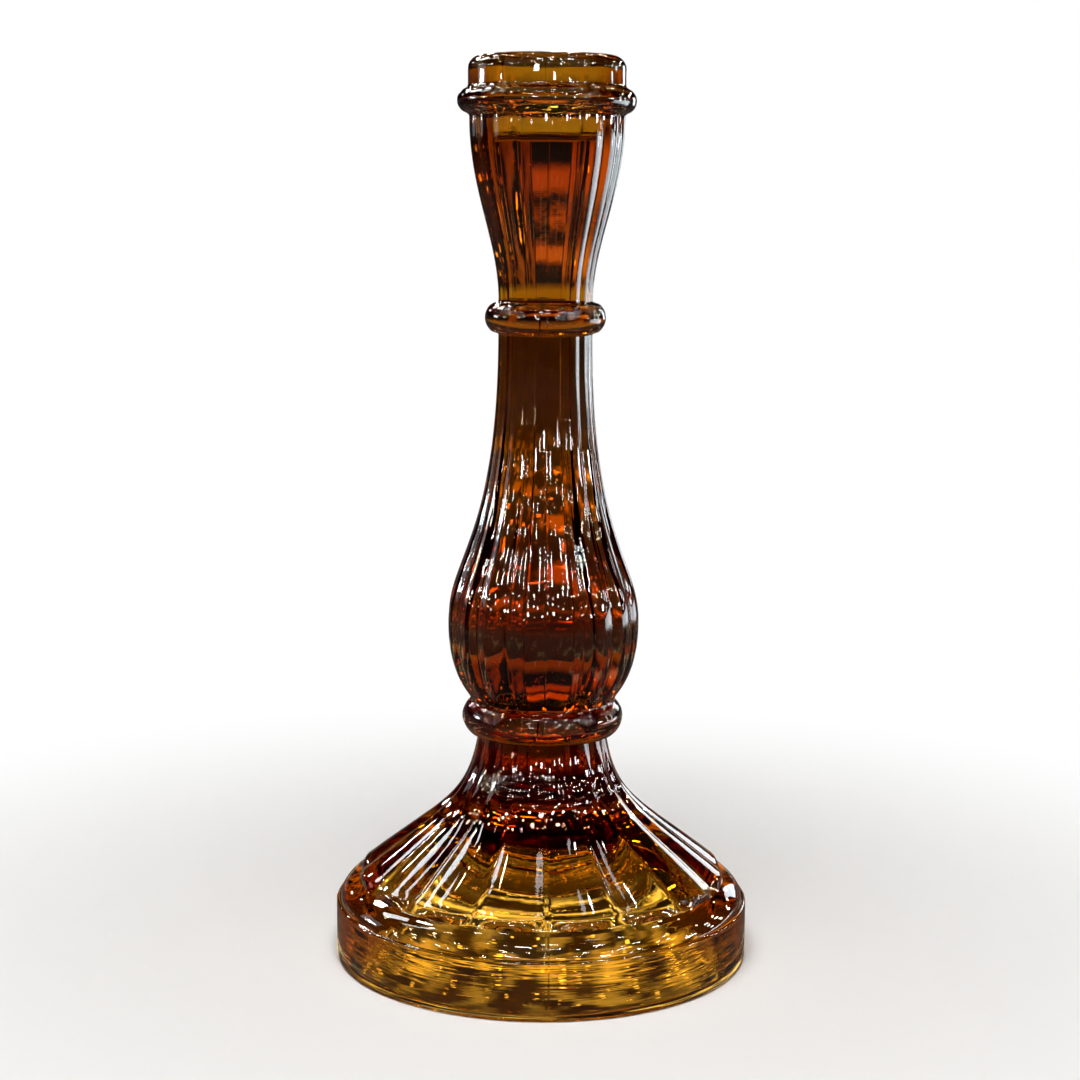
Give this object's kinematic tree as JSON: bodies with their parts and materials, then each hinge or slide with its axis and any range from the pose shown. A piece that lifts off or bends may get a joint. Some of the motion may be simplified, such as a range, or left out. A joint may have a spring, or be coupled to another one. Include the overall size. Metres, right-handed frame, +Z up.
{
  "type": "glass candlestick",
  "caption": "Tall pressed amber glass candlestick for a taper candle, with a ribbed cup, a ribbed baluster stem and a hollow domed foot.",
  "frame": {"origin": "centre of the foot's underside, on the surface it stands on", "axes": "+Z up along the candlestick's axis, -Y towards the groove between two ribs that is taken as the front"},
  "size_m": [0.1116, 0.1116, 0.24],
  "materials": {
    "amber_glass_rim": "clear fire-polished amber glass, light where the wall is hollow",
    "amber_glass": "clear fire-polished amber glass, dark where it is solid",
    "amber_glass_foot": "clear fire-polished amber glass, golden over the hollow foot"
  },
  "bodies": {
    "root": {"rim_collar": "amber_glass_rim", "lip_ring": "amber_glass_rim", "candle_cup": "amber_glass", "upper_ring": "amber_glass", "baluster_stem": "amber_glass", "lower_ring": "amber_glass", "foot_dome": "amber_glass_foot", "foot_plinth": "amber_glass_foot"}
  },
  "joints": []
}
